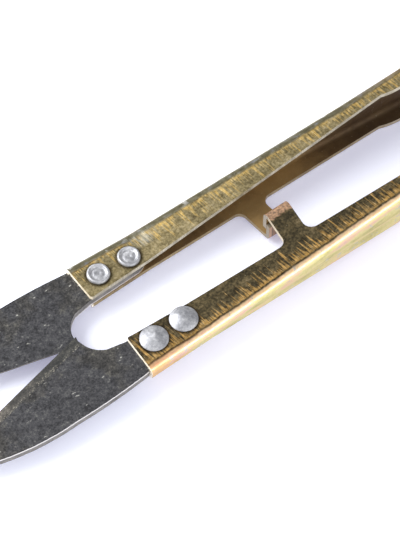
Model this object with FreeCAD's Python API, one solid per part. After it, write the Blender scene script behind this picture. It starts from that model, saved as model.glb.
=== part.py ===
import FreeCAD, Part
import math
import os

# Thread snips: one folded spring-steel frame, two riveted blades, four rivets.
# The frame is modelled as a bow and two channel arms, split where the bow flexes.
# Working frame: X towards the blade tips, +Y the left arm, Z = 0 where the two blades rub.
# The right side is the left side turned half a turn about X, apart from its line of rivets.
# Arm frame: u from the arm's front end towards the bow, v inwards from the web's outer face.

# ---------- driving dimensions, mm ----------
SHEET = 0.75                # frame sheet thickness
BLADE = 1.30                # blade thickness
BLADE_GAP = 0.04            # gap between the rubbing faces of the two blades
SEAT_GAP = 0.01             # gap between a blade and each flange that clamps it

FRONT_HALF_WIDTH = 11.33    # web outer face to the middle plane, at the arm's front end
CONVERGENCE = math.radians(1.77)   # each arm leans in towards the bow
BOW_CENTRE_X = -65.5        # centre of the bow arc
BOW_HEIGHT = 9.60           # height of the strip round the bow
BEND_RADIUS = 1.0           # outside radius of the folds
EDGE_RADIUS = 0.2           # outside radius left on the strip where the folds have run out
MIN_INNER_RADIUS = 0.05
FLARE_START = 11.0          # the clamped front of the channel is parallel up to here
FOLD_FADE_START = 50.0      # the folds start to open out into the flat strip here
FLEX_GAP = 0.02             # gap between an arm's end face and the bow

FRONT_RAKE = 0.35           # the flanges' front ends slope back to their inner edges
TAB_FLANGE = (6.66, 0.0655)      # depth at the front end, and depth lost per mm of u
PLAIN_FLANGE = (6.66, 0.0745)    # the flange without a tab
TAB_CORNER_RADIUS = 0.25         # rounded front corner of the tab's flange
PLAIN_CORNER_RADIUS = 0.50       # and of the plain flange
TAPER_END = 56.5            # the flanges swell inwards again from here
SWELL = 0.50                # this much, and most of it by half way
SWELL_HALF_WAY = 0.80
RUNOUT_START = 60.5         # and run out into the strip from here
RUNOUT_END = 65.0
RUNOUT_BULGE = 0.12         # how far the run-out swells inwards, as a share of its depth

TAB_FRONT = 28.67           # the tab's front and rear edges, at its root
TAB_REAR = 32.67
TAB_LEAN = 0.60             # how far the tab leans towards the bow, from root to fold
TAB_ROOT_RADIUS = 1.4
LIP_GAP = 0.04              # each lip's inner face to the middle plane
LIP_PAST_MIDDLE = 0.6       # how far a lip reaches past the blades' rubbing plane
LIP_OVERLAP = 0.4           # how far the lip's solid runs back into the tab, to join it

RIVET_U = (3.40, 8.80)      # rivet places along the arm
RIVET_V = {"left": 4.15, "right": 3.80}
RIVET_SHANK = 1.25          # radius
RIVET_CLEARANCE = 0.02      # radial, in the flanges and the blade
DOME_RADIUS = 2.17
DOME_RIM = 0.16
DOME_HEIGHT = 0.95
TAIL_RADIUS = 1.80
TAIL_HEIGHT = 0.55          # the ring's crest below the flange
TAIL_RING = 0.80            # radii of the crest and the groove inside it, as shares of the tail's
TAIL_GROOVE = 0.60
GROOVE_DEPTH = 0.30         # depths below the flange: the groove and the dimple, the middle
CENTRE_DEPTH = 0.42
DIMPLE_RADIUS = 0.35
GROOVE_SLOPE = 0.15
TAIL_SIDE = 0.20            # height of the tail's side, and its draught
TAIL_DRAUGHT = 0.05
TAIL_SHOULDER = 0.07

TIP_X = 34.5                # blade tip
EDGE_SLOPE = 0.245          # cutting edge, open position: y = EDGE_SLOPE * (x - EDGE_CROSSING_X)
EDGE_CROSSING_X = 8.15
HEEL_X = 5.30               # heel end of the cutting edge
BEVEL_WIDTH = 1.90
WEDGE_OVERRUN = 3.0         # the cutter that grinds the bevel starts this far behind the heel
EDGE_LAND = 0.30            # blade thickness left at the cutting edge
SHANK_INSET = 0.05          # shank edge inside the flange edge
SHANK_OUTER_V = 1.05        # shank clears the fold's inner radius
SHOULDER_GAP = 0.12         # the blade widens just ahead of the arm's front end
OUTER_FRONT_V = 0.55
OUTER_SWELL = (6.0, 11.27)  # plan points on the left blade's outer edge, working frame
OUTER_WIDEST = (13.0, 11.40)
OUTER_BELLY = (25.3, 10.20)
NOSE_BACK = 0.35            # the nose: its start behind the tip's x, and its rise over the cutting edge
NOSE_RISE = 0.30
NOSE_ROUND_BACK = 0.04
NOSE_ROUND_RISE = 0.14
TIP_BACK = 0.10
MOUTH_LOW = (5.55, 0.20)    # plan points round the mouth behind the heel
MOUTH_MIDDLE = (4.95, 2.60)
MOUTH_HIGH = (3.00, 4.20)

# ---------- derived ----------
COS = math.cos(CONVERGENCE)
SIN = math.sin(CONVERGENCE)
BOW_RADIUS = FRONT_HALF_WIDTH * COS + BOW_CENTRE_X * SIN
ARM_LENGTH = FRONT_HALF_WIDTH * SIN - BOW_CENTRE_X * COS
CLAMP_HEIGHT = BLADE + 2 * SEAT_GAP + 2 * SHEET
CLAMP_MIDDLE = (BLADE_GAP + BLADE) / 2
BLADE_BOTTOM = BLADE_GAP / 2
BLADE_TOP = BLADE_BOTTOM + BLADE
BOW_APEX_X = BOW_CENTRE_X - BOW_RADIUS
SHIFT = FreeCAD.Vector(-(TIP_X + BOW_APEX_X) / 2, 0, BOW_HEIGHT / 2)
FAR = 20.0                  # longer than any cut needs

# Each arm turns about the centre of what bends: half the bow and the flat strip ahead of it.
HALF_BOW = math.pi / 2 * BOW_RADIUS
STRIP = ARM_LENGTH - RUNOUT_START
ARC_CENTRE = 2 / math.pi * BOW_RADIUS
HINGE_X = BOW_CENTRE_X + (STRIP * STRIP / 2 - HALF_BOW * ARC_CENTRE) / (HALF_BOW + STRIP)
HINGE_Y = (STRIP * BOW_RADIUS + HALF_BOW * ARC_CENTRE) / (HALF_BOW + STRIP)


def flare(u):
    """0 where the channel is clamped, 1 at the bow."""
    return max(0.0, (u - FLARE_START) / (ARM_LENGTH - FLARE_START))


def channel_height(u):
    return CLAMP_HEIGHT + (BOW_HEIGHT - CLAMP_HEIGHT) * flare(u)


def channel_middle(u):
    return CLAMP_MIDDLE * (1 - flare(u))


def channel_top(u):
    return channel_middle(u) + channel_height(u) / 2


def depth(flange, u):
    front, taper = flange
    return front - taper * min(u, TAPER_END)


def lip_face(u):
    """v of the lip's outer face, which is parallel to the middle plane."""
    return (FRONT_HALF_WIDTH + LIP_GAP + SHEET - SIN * u) / COS


def on_plan(u, v):
    """Left arm's plan point in the working frame."""
    x = -COS * u + SIN * v
    y = FRONT_HALF_WIDTH - SIN * u - COS * v
    return x, y


def edge_y(x):
    return EDGE_SLOPE * (x - EDGE_CROSSING_X)


# ---------- outline helpers ----------
def line(a, b):
    return Part.LineSegment(FreeCAD.Vector(*a), FreeCAD.Vector(*b)).toShape()


def arc(a, middle, b):
    return Part.Arc(FreeCAD.Vector(*a), FreeCAD.Vector(*middle), FreeCAD.Vector(*b)).toShape()


def corner_arc(a, corner, b, centre, radius):
    """Quarter round from a to b about centre, bulging towards corner."""
    away = FreeCAD.Vector(*corner) - FreeCAD.Vector(*centre)
    middle = FreeCAD.Vector(*centre) + away.normalize() * radius
    return Part.Arc(FreeCAD.Vector(*a), middle, FreeCAD.Vector(*b)).toShape()


def prism(edges, bottom, top):
    """Closed plan outline raised from bottom to top."""
    face = Part.Face(Part.Wire(edges))
    face.translate(FreeCAD.Vector(0, 0, bottom))
    return face.extrude(FreeCAD.Vector(0, 0, top - bottom))


def flat(points):
    return [(x, y, 0) for x, y in points]


# ---------- frame ----------
def channel_section(u, depth):
    """C section of the folded sheet at station u, open inwards."""
    fade = max(0.0, (u - FOLD_FADE_START) / (ARM_LENGTH - FOLD_FADE_START))
    outer = BEND_RADIUS + (EDGE_RADIUS - BEND_RADIUS) * fade
    inner = max(MIN_INNER_RADIUS, outer - SHEET)
    top = channel_top(u)
    bottom = top - channel_height(u)
    roof = top - SHEET
    floor = bottom + SHEET
    wall = SHEET

    def fold(first, second, corner, centre, radius):
        return corner_arc((u, *first), (u, *corner), (u, *second), (u, *centre), radius)

    def run(first, second):
        return line((u, *first), (u, *second))

    top_web = (0, top - outer)
    bottom_web = (0, bottom + outer)
    top_flange = (outer, top)
    bottom_flange = (outer, bottom)
    inner_floor = (wall + inner, floor)
    inner_low_web = (wall, floor + inner)
    inner_high_web = (wall, roof - inner)
    inner_roof = (wall + inner, roof)
    return Part.Wire([
        run((depth, top), top_flange),
        fold(top_flange, top_web, (0, top), (outer, top - outer), outer),
        run(top_web, bottom_web),
        fold(bottom_web, bottom_flange, (0, bottom), (outer, bottom + outer), outer),
        run(bottom_flange, (depth, bottom)),
        run((depth, bottom), (depth, floor)),
        run((depth, floor), inner_floor),
        fold(inner_floor, inner_low_web, (wall, floor), (wall + inner, floor + inner), inner),
        run(inner_low_web, inner_high_web),
        fold(inner_high_web, inner_roof, (wall, roof), (wall + inner, roof - inner), inner),
        run(inner_roof, (depth, roof)),
        run((depth, roof), (depth, top)),
    ])


def flange_outline(flange, with_tab):
    """Plan of one flange, from outside the web to the flange's inner edge."""
    rear = ARM_LENGTH + 1.0
    outside = -1.0
    corner_radius = TAB_CORNER_RADIUS if with_tab else PLAIN_CORNER_RADIUS
    corner_cut = corner_radius * (1 - math.sqrt(0.5))
    corner_v = depth(flange, 0)
    front_slope = FRONT_RAKE / (corner_v - outside)
    corner_front = (FRONT_RAKE - front_slope * corner_radius, corner_v - corner_radius, 0)
    corner_rear = (FRONT_RAKE + corner_radius, depth(flange, corner_radius), 0)
    edges = [
        line((0, outside, 0), corner_front),
        arc(corner_front, (FRONT_RAKE + corner_cut, corner_v - corner_cut, 0), corner_rear),
    ]
    run_from = corner_rear
    if with_tab:
        radius = TAB_ROOT_RADIUS
        half = radius * (1 - math.sqrt(0.5))
        fold_front = TAB_FRONT + TAB_LEAN
        fold_rear = TAB_REAR + TAB_LEAN
        reach_front = (fold_front, lip_face(fold_front) - BEND_RADIUS, 0)
        reach_rear = (fold_rear, lip_face(fold_rear) - BEND_RADIUS, 0)
        root_front = (TAB_FRONT - radius, depth(flange, TAB_FRONT - radius), 0)
        neck_front = (TAB_FRONT, depth(flange, TAB_FRONT) + radius, 0)
        neck_rear = (TAB_REAR, depth(flange, TAB_REAR) + radius, 0)
        root_rear = (TAB_REAR + radius, depth(flange, TAB_REAR + radius), 0)
        edges += [
            line(run_from, root_front),
            arc(root_front, (TAB_FRONT - half, depth(flange, TAB_FRONT) + half, 0), neck_front),
            line(neck_front, reach_front),
            line(reach_front, reach_rear),
            line(reach_rear, neck_rear),
            arc(neck_rear, (TAB_REAR + half, depth(flange, TAB_REAR) + half, 0), root_rear),
        ]
        run_from = root_rear
    least = depth(flange, TAPER_END)
    swollen = least + SWELL
    swell_middle = ((TAPER_END + RUNOUT_START) / 2, least + SWELL_HALF_WAY * SWELL, 0)
    half_way = (swollen + SHEET) / 2 + RUNOUT_BULGE * (swollen - SHEET)
    runout_middle = ((RUNOUT_START + RUNOUT_END) / 2, half_way, 0)
    edges += [
        line(run_from, (TAPER_END, least, 0)),
        arc((TAPER_END, least, 0), swell_middle, (RUNOUT_START, swollen, 0)),
        arc((RUNOUT_START, swollen, 0), runout_middle, (RUNOUT_END, SHEET, 0)),
        line((RUNOUT_END, SHEET, 0), (rear, SHEET, 0)),
        line((rear, SHEET, 0), (rear, outside, 0)),
        line((rear, outside, 0), (0, outside, 0)),
    ]
    return edges


def lip():
    """The tab's end, folded down past the rubbing plane."""
    sections = []
    for u in (TAB_FRONT + TAB_LEAN, TAB_REAR + TAB_LEAN):
        face = lip_face(u)
        start = face - BEND_RADIUS
        root = start - LIP_OVERLAP
        back = face - SHEET
        inner = BEND_RADIUS - SHEET
        top = channel_top(u)
        roof = top - SHEET
        foot = -LIP_PAST_MIDDLE
        sections.append(Part.Wire([
            line((u, root, top), (u, start, top)),
            corner_arc((u, start, top), (u, face, top), (u, face, top - BEND_RADIUS),
                       (u, start, top - BEND_RADIUS), BEND_RADIUS),
            line((u, face, top - BEND_RADIUS), (u, face, foot)),
            line((u, face, foot), (u, back, foot)),
            line((u, back, foot), (u, back, roof - inner)),
            corner_arc((u, back, roof - inner), (u, back, roof), (u, start, roof),
                       (u, start, roof - inner), inner),
            line((u, start, roof), (u, root, roof)),
            line((u, root, roof), (u, root, top)),
        ]))
    return Part.makeLoft(sections, True, True)


def rivet_holes(side):
    """Cutters for both rivet holes, in the arm frame."""
    radius = RIVET_SHANK + RIVET_CLEARANCE
    return [Part.makeCylinder(radius, 2 * FAR, FreeCAD.Vector(u, RIVET_V[side], -FAR)) for u in RIVET_U]


def arm(side):
    over_deep = lip_face(0) + 1
    stations = (0, FLARE_START, FOLD_FADE_START, ARM_LENGTH - FLEX_GAP)
    shape = None
    for near, far in zip(stations, stations[1:]):
        sections = [channel_section(near, over_deep), channel_section(far, over_deep)]
        piece = Part.makeLoft(sections, True, True)
        shape = piece if shape is None else shape.fuse(piece)
    upper = prism(flange_outline(TAB_FLANGE, True), CLAMP_MIDDLE, FAR)
    lower = prism(flange_outline(PLAIN_FLANGE, False), -FAR, CLAMP_MIDDLE)
    shape = shape.common(upper.fuse(lower)).fuse(lip()).removeSplitter()
    return shape.cut(rivet_holes(side))


def spring_bow():
    half = BOW_HEIGHT / 2
    outer = BOW_CENTRE_X + BOW_RADIUS
    inner = outer - SHEET
    round_x = outer - EDGE_RADIUS
    round_z = half - EDGE_RADIUS
    low_side = (outer, 0, -round_z)
    low_face = (round_x, 0, -half)
    high_side = (outer, 0, round_z)
    high_face = (round_x, 0, half)
    section = Part.Wire([
        line((inner, 0, -half), low_face),
        corner_arc(low_face, (outer, 0, -half), low_side, (round_x, 0, -round_z), EDGE_RADIUS),
        line(low_side, high_side),
        corner_arc(high_side, (outer, 0, half), high_face, (round_x, 0, round_z), EDGE_RADIUS),
        line(high_face, (inner, 0, half)),
        line((inner, 0, half), (inner, 0, -half)),
    ])
    face = Part.Face(section)
    centre = FreeCAD.Vector(BOW_CENTRE_X, 0, 0)
    up = FreeCAD.Vector(0, 0, 1)
    lean = math.degrees(CONVERGENCE)
    face.rotate(centre, up, 90 + lean)
    return face.revolve(centre, up, 180 - 2 * lean)


# ---------- blade ----------
def blade(side):
    """Left blade, in the working frame, with its bevel on the upper face."""
    rear_u = RIVET_U[1]
    inner_rear = depth(PLAIN_FLANGE, rear_u) - SHANK_INSET
    end_radius = (inner_rear - SHANK_OUTER_V) / 2
    shank_outer_rear = on_plan(rear_u, SHANK_OUTER_V)
    shank_end = on_plan(rear_u + end_radius, SHANK_OUTER_V + end_radius)
    shank_inner_rear = on_plan(rear_u, inner_rear)
    shank_inner_front = on_plan(0, depth(PLAIN_FLANGE, 0) - SHANK_INSET)
    shoulder = on_plan(-SHOULDER_GAP, SHANK_OUTER_V)
    outer_front = on_plan(-SHOULDER_GAP, OUTER_FRONT_V)
    nose = (TIP_X - NOSE_BACK, edge_y(TIP_X) + NOSE_RISE)
    nose_round = (TIP_X - NOSE_ROUND_BACK, edge_y(TIP_X) + NOSE_ROUND_RISE)
    tip = (TIP_X - TIP_BACK, edge_y(TIP_X - TIP_BACK))
    heel = (HEEL_X, edge_y(HEEL_X))
    edges = [
        line(*flat([shank_outer_rear, shoulder])),
        line(*flat([shoulder, outer_front])),
        arc(*flat([outer_front, OUTER_SWELL, OUTER_WIDEST])),
        arc(*flat([OUTER_WIDEST, OUTER_BELLY, nose])),
        arc(*flat([nose, nose_round, tip])),
        line(*flat([tip, heel])),
        line(*flat([heel, MOUTH_LOW])),
        arc(*flat([MOUTH_LOW, MOUTH_MIDDLE, MOUTH_HIGH])),
        line(*flat([MOUTH_HIGH, shank_inner_front])),
        line(*flat([shank_inner_front, shank_inner_rear])),
        arc(*flat([shank_inner_rear, shank_end, shank_outer_rear])),
    ]
    shape = prism(edges, BLADE_BOTTOM, BLADE_TOP)
    holes = [place_arm_frame(hole) for hole in rivet_holes(side)]
    return shape.cut(holes).cut(bevel_wedge(heel, tip))


def bevel_wedge(heel, tip):
    """Wedge that grinds the bevel along the cutting edge."""
    along = FreeCAD.Vector(tip[0] - heel[0], tip[1] - heel[1], 0).normalize()
    inwards = FreeCAD.Vector(-along.y, along.x, 0)
    start = FreeCAD.Vector(heel[0], heel[1], 0) - along * WEDGE_OVERRUN
    rise = (BLADE - EDGE_LAND) / BEVEL_WIDTH
    low = BLADE_BOTTOM + EDGE_LAND - rise
    high = BLADE_TOP + rise
    up = FreeCAD.Vector(0, 0, 1)
    corners = [
        start - inwards + up * low,
        start + inwards * (BEVEL_WIDTH + 1) + up * high,
        start - inwards + up * high,
    ]
    face = Part.Face(Part.makePolygon(corners + corners[:1]))
    return face.extrude(along * (TIP_X + 2 * WEDGE_OVERRUN))


# ---------- rivets ----------
def rivet(u, arm_side):
    """Domed head above the top flange, formed ring tail below the bottom flange."""
    seat = CLAMP_MIDDLE + CLAMP_HEIGHT / 2
    foot = CLAMP_MIDDLE - CLAMP_HEIGHT / 2
    crest_x = TAIL_RING * TAIL_RADIUS
    groove_x = TAIL_GROOVE * TAIL_RADIUS
    crown = DOME_HEIGHT - DOME_RIM
    sphere = (DOME_RADIUS ** 2 + crown ** 2) / (2 * crown)
    dome_middle_x = DOME_RADIUS / 2
    dome_middle_z = seat + DOME_HEIGHT - sphere + math.sqrt(sphere ** 2 - dome_middle_x ** 2)

    def tail(x, depth_below):
        return x, 0, foot - depth_below

    dome_top = (0, 0, seat + DOME_HEIGHT)
    dome_middle = (dome_middle_x, 0, dome_middle_z)
    dome_edge = (DOME_RADIUS, 0, seat + DOME_RIM)
    dimple = tail(0, GROOVE_DEPTH)
    dimple_edge = tail(DIMPLE_RADIUS, CENTRE_DEPTH)
    centre_edge = tail(groove_x - GROOVE_SLOPE, CENTRE_DEPTH)
    groove = tail(groove_x, GROOVE_DEPTH)
    crest = tail(crest_x, TAIL_HEIGHT)
    shoulder = tail(TAIL_RADIUS - TAIL_SHOULDER, CENTRE_DEPTH)
    side = tail(TAIL_RADIUS, TAIL_SIDE)
    tail_foot = tail(TAIL_RADIUS - TAIL_DRAUGHT, 0)
    shank_low = tail(RIVET_SHANK, 0)
    shank_high = (RIVET_SHANK, 0, seat)
    under_dome = (DOME_RADIUS, 0, seat)
    profile = [
        line(dome_top, dimple),
        line(dimple, dimple_edge),
        line(dimple_edge, centre_edge),
        line(centre_edge, groove),
        line(groove, crest),
        arc(crest, shoulder, side),
        line(side, tail_foot),
        line(tail_foot, shank_low),
        line(shank_low, shank_high),
        line(shank_high, under_dome),
        line(under_dome, dome_edge),
        arc(dome_edge, dome_middle, dome_top),
    ]
    face = Part.Face(Part.Wire(profile))
    shape = face.revolve(FreeCAD.Vector(0, 0, 0), FreeCAD.Vector(0, 0, 1), 360)
    return shape.translated(FreeCAD.Vector(u, RIVET_V[arm_side], 0))


# ---------- assembly ----------
def place_arm_frame(shape):
    """From the arm frame to the left side of the working frame."""
    turn = FreeCAD.Rotation(FreeCAD.Vector(0, 0, 1), 180 + math.degrees(CONVERGENCE))
    place = FreeCAD.Placement(FreeCAD.Vector(0, FRONT_HALF_WIDTH, 0), turn)
    copy = shape.copy()
    copy.Placement = place.multiply(copy.Placement)
    return copy


def to_right(shape):
    copy = shape.copy()
    copy.rotate(FreeCAD.Vector(0, 0, 0), FreeCAD.Vector(1, 0, 0), 180)
    return copy


def export(name, shape):
    moved = shape.translated(SHIFT)
    if not moved.isValid() or len(moved.Solids) != 1:
        raise RuntimeError(f"{name}: {len(moved.Solids)} solids, valid {moved.isValid()}")
    moved.exportStep(f"parts/{name}.step")
    box = moved.BoundBox
    low = f"{box.XMin:.2f} {box.YMin:.2f} {box.ZMin:.2f}"
    high = f"{box.XMax:.2f} {box.YMax:.2f} {box.ZMax:.2f}"
    print(f"{name}: volume {moved.Volume:.2f} mm3, from {low} to {high}")


def one_side(side):
    """One arm with its blade and rivets, as it is on the left."""
    return {
        "arm": place_arm_frame(arm(side)),
        "blade": blade(side),
        "front_rivet": place_arm_frame(rivet(RIVET_U[0], side)),
        "rear_rivet": place_arm_frame(rivet(RIVET_U[1], side)),
    }


def main():
    os.makedirs("parts", exist_ok=True)
    export("spring_bow", spring_bow())
    for name, shape in one_side("left").items():
        export(f"left_{name}", shape)
    for name, shape in one_side("right").items():
        export(f"right_{name}", to_right(shape))
    print(f"hinges at x {HINGE_X + SHIFT.x:.3f}, y +-{HINGE_Y:.3f}, z {SHIFT.z:.3f}")


main()
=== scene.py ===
import math
import bmesh
import bpy
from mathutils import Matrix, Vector, noise


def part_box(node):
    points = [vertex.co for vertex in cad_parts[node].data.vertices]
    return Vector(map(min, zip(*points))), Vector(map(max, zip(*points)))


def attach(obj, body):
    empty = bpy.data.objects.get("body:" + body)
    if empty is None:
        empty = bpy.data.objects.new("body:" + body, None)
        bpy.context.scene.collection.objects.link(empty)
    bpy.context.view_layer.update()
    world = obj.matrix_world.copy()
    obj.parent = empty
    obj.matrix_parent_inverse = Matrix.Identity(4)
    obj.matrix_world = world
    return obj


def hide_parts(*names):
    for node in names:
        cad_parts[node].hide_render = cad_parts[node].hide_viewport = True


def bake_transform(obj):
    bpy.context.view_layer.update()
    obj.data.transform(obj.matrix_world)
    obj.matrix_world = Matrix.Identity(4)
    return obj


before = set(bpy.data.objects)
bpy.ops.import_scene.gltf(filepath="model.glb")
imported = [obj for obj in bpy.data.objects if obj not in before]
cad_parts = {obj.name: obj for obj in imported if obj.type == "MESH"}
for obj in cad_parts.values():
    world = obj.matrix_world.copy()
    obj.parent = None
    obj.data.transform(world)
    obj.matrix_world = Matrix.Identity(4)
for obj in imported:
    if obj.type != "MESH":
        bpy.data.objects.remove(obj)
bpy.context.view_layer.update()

# Lengths here are in mm, and place() turns them into metres.
# Arm frame, as in the CAD: u from the arm's front end towards the bow,
# v inwards from the web's outer face, z = 0 where the two blades rub.
# The right side is the left side turned half a turn about X, apart from its line of rivets.
MM = 0.001

# ---------- dimensions shared with the CAD ----------
SHEET = 0.75
BLADE = 1.30
BLADE_GAP = 0.04
SEAT_GAP = 0.01
FRONT_HALF_WIDTH = 11.33
LEAN = math.radians(1.77)
BOW_CENTRE_X = -65.5
BOW_HEIGHT = 9.60
BEND_RADIUS = 1.0
EDGE_RADIUS = 0.2
MIN_INNER_RADIUS = 0.05
FLARE_START = 11.0
FOLD_FADE_START = 50.0
FRONT_RAKE = 0.35
TAB_FLANGE = (6.66, 0.0655)
PLAIN_FLANGE = (6.66, 0.0745)
TAB_CORNER_RADIUS = 0.25
PLAIN_CORNER_RADIUS = 0.50
TAPER_END = 56.5
SWELL = 0.50
SWELL_HALF_WAY = 0.80
RUNOUT_START = 60.5
RUNOUT_END = 65.0
RUNOUT_BULGE = 0.12
TAB_FRONT = 28.67
TAB_REAR = 32.67
TAB_LEAN = 0.60
TAB_ROOT_RADIUS = 1.4
LIP_GAP = 0.04
LIP_PAST_MIDDLE = 0.6
RIVET_U = (3.40, 8.80)
RIVET_V = {"left": 4.15, "right": 3.80}
RIVET_SHANK = 1.25
DOME_RADIUS = 2.17
DOME_RIM = 0.16
DOME_HEIGHT = 0.95
TAIL_RADIUS = 1.80
TAIL_HEIGHT = 0.55
TIP_X = 34.5
EDGE_SLOPE = 0.245
EDGE_CROSSING_X = 8.15
HEEL_X = 5.30
BEVEL_WIDTH = 1.90
EDGE_LAND = 0.30
SHANK_INSET = 0.05
SHANK_OUTER_V = 1.05
SHOULDER_GAP = 0.12
OUTER_FRONT_V = 0.55
OUTER_SWELL = (6.0, 11.27)
OUTER_WIDEST = (13.0, 11.40)
OUTER_BELLY = (25.3, 10.20)
NOSE_BACK = 0.35
NOSE_RISE = 0.30
NOSE_ROUND_BACK = 0.04
NOSE_ROUND_RISE = 0.14
TIP_BACK = 0.10
MOUTH_LOW = (5.55, 0.20)
MOUTH_MIDDLE = (4.95, 2.60)
MOUTH_HIGH = (3.00, 4.20)

COS = math.cos(LEAN)
SIN = math.sin(LEAN)
BOW_RADIUS = FRONT_HALF_WIDTH * COS + BOW_CENTRE_X * SIN
ARM_LENGTH = FRONT_HALF_WIDTH * SIN - BOW_CENTRE_X * COS
APEX_U = ARM_LENGTH + BOW_RADIUS * (math.pi / 2 - LEAN)
CLAMP_HEIGHT = BLADE + 2 * SEAT_GAP + 2 * SHEET
CLAMP_MIDDLE = (BLADE_GAP + BLADE) / 2
BLADE_BOTTOM = BLADE_GAP / 2
BLADE_TOP = BLADE_BOTTOM + BLADE
BOW_APEX_X = BOW_CENTRE_X - BOW_RADIUS
SHIFT = Vector((-(TIP_X + BOW_APEX_X) / 2, 0, BOW_HEIGHT / 2))


TURN = {"left": 1, "right": -1}


def place(point, side):
    """Working frame, left side, to metres in the row frame, on the side asked for."""
    x, y, z = point
    return (Vector((x, TURN[side] * y, TURN[side] * z)) + SHIFT) * MM


def on_plan(u, v):
    """Plan point of the sheet, along the arm and on round the bow."""
    if u <= ARM_LENGTH:
        return -COS * u + SIN * v, FRONT_HALF_WIDTH - SIN * u - COS * v
    angle = math.pi / 2 + LEAN + (u - ARM_LENGTH) / BOW_RADIUS
    radius = BOW_RADIUS - v
    return BOW_CENTRE_X + radius * math.cos(angle), radius * math.sin(angle)


def flare(u):
    return min(1.0, max(0.0, (u - FLARE_START) / (ARM_LENGTH - FLARE_START)))


def channel(u):
    """Heights of the channel's top and bottom."""
    middle = CLAMP_MIDDLE * (1 - flare(u))
    height = CLAMP_HEIGHT + (BOW_HEIGHT - CLAMP_HEIGHT) * flare(u)
    return middle + height / 2, middle - height / 2


def flange_depth(flange, u):
    """Flange edge: a straight taper, a swell inwards, and the run-out into the strip."""
    front, taper = flange
    deep = front - taper * min(u, TAPER_END)
    if u >= RUNOUT_END:
        return SHEET
    if u > TAPER_END:
        t = min(1.0, (u - TAPER_END) / (RUNOUT_START - TAPER_END))
        bend = 4 * (SWELL_HALF_WAY - 0.5)
        deep += SWELL * (t + bend * t * (1 - t))
    if u > RUNOUT_START:
        t = (u - RUNOUT_START) / (RUNOUT_END - RUNOUT_START)
        bulge = 4 * RUNOUT_BULGE * t * (1 - t)
        return deep + (SHEET - deep) * (t - bulge)
    return deep


def lip_face(u):
    return (FRONT_HALF_WIDTH + LIP_GAP + SHEET - SIN * u) / COS


def edge_y(x):
    return EDGE_SLOPE * (x - EDGE_CROSSING_X)


def spread(a, b, count):
    return [a + (b - a) * i / count for i in range(count + 1)]


# ---------- mesh helpers ----------
def finish_mesh(name, bm, materials):
    bmesh.ops.recalc_face_normals(bm, faces=bm.faces)
    mesh = bpy.data.meshes.new(name)
    bm.to_mesh(mesh)
    bm.free()
    for material in materials:
        mesh.materials.append(material)
    obj = bpy.data.objects.new(name, mesh)
    bpy.context.scene.collection.objects.link(obj)
    return obj


def round_edges(obj, width, edge_material):
    """Rounds the edges that carry a bevel weight, and keeps the flat faces flat in the shading."""
    bevel = obj.modifiers.new("round_edges", "BEVEL")
    bevel.limit_method = "WEIGHT"
    bevel.width = width * MM
    bevel.segments = 3
    bevel.material = edge_material
    bevel.harden_normals = True
    obj.data.shade_smooth()
    bpy.context.view_layer.update()
    baked = bpy.data.meshes.new_from_object(obj.evaluated_get(bpy.context.evaluated_depsgraph_get()))
    obj.modifiers.clear()
    old = obj.data
    obj.data = baked
    bpy.data.meshes.remove(old)
    baked.name = obj.name
    return obj


def fill_holes(bm):
    boundary = [edge for edge in bm.edges if len(edge.link_faces) == 1]
    return bmesh.ops.holes_fill(bm, edges=boundary, sides=0)["faces"]


SHARP_ANGLE = math.radians(20)
RIM_ANGLE = math.radians(50)


def weigh_edges(bm, wanted):
    """Bevel weight 1 on the edges for which wanted(edge) holds. Other steep edges stay sharp."""
    layer = bm.edges.layers.float.new("bevel_weight_edge")
    for edge in bm.edges:
        if len(edge.link_faces) != 2:
            continue
        if wanted(edge):
            edge[layer] = 1.0
        elif edge.calc_face_angle() > SHARP_ANGLE:
            edge.smooth = False


# ---------- frame: one continuous folded strip for each half ----------
CORNER_STEPS = 3
CORNER_SHARE = PLAIN_CORNER_RADIUS / (PLAIN_FLANGE[0] - BEND_RADIUS)
FLANGE_SHARES = spread(0, CORNER_SHARE, CORNER_STEPS) + spread(CORNER_SHARE, 1, 7)[1:-1]
FOLD_STEPS = 6
WEB_STEPS = 10
RAKE_FADE = 2.0
SOFT_FOLD_FROM = 14.0        # behind the blades' shanks the inside of the folds is rounder
SOFT_FOLD_FADE = 8.0
SOFT_FOLD_RADIUS = 0.85
PLATED, SHEARED = 0, 1


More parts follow.
